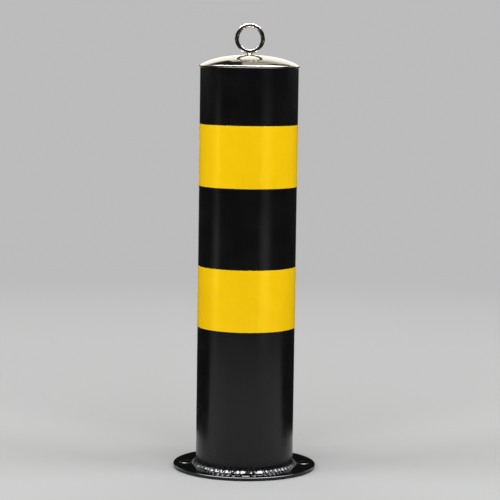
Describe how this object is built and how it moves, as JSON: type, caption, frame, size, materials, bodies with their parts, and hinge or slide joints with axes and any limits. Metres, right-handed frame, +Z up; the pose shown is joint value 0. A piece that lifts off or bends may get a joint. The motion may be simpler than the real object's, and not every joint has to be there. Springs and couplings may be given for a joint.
{
  "type": "parking post",
  "caption": "Bolt-down parking post: black painted steel tube on a round welded flange, with yellow reflective film bands, a polished dome cap and a closed eye on top.",
  "frame": {"origin": "on the tube's axis at the underside of the base flange, where the post stands on the ground", "axes": "+Z up along the tube's axis, +X through the middle of one anchor hole, the eye's ring in the XZ plane, the film's overlap at the back on +Y"},
  "size_m": [0.167, 0.167, 0.5193],
  "materials": {
    "black_enamel": "gloss black enamel sprayed over steel",
    "yellow_film": "smooth yellow reflective film",
    "polished_stainless": "mirror-polished stainless steel",
    "zinc_steel": "zinc-plated steel fasteners"
  },
  "bodies": {
    "root": {"post_tube": "black_enamel", "base_flange": "black_enamel", "base_weld": "black_enamel", "upper_reflective_band": "yellow_film", "lower_reflective_band": "yellow_film", "dome_cap": "polished_stainless", "eye_bolt": "polished_stainless", "eye_washer": "zinc_steel", "eye_nut": "zinc_steel"}
  },
  "joints": []
}
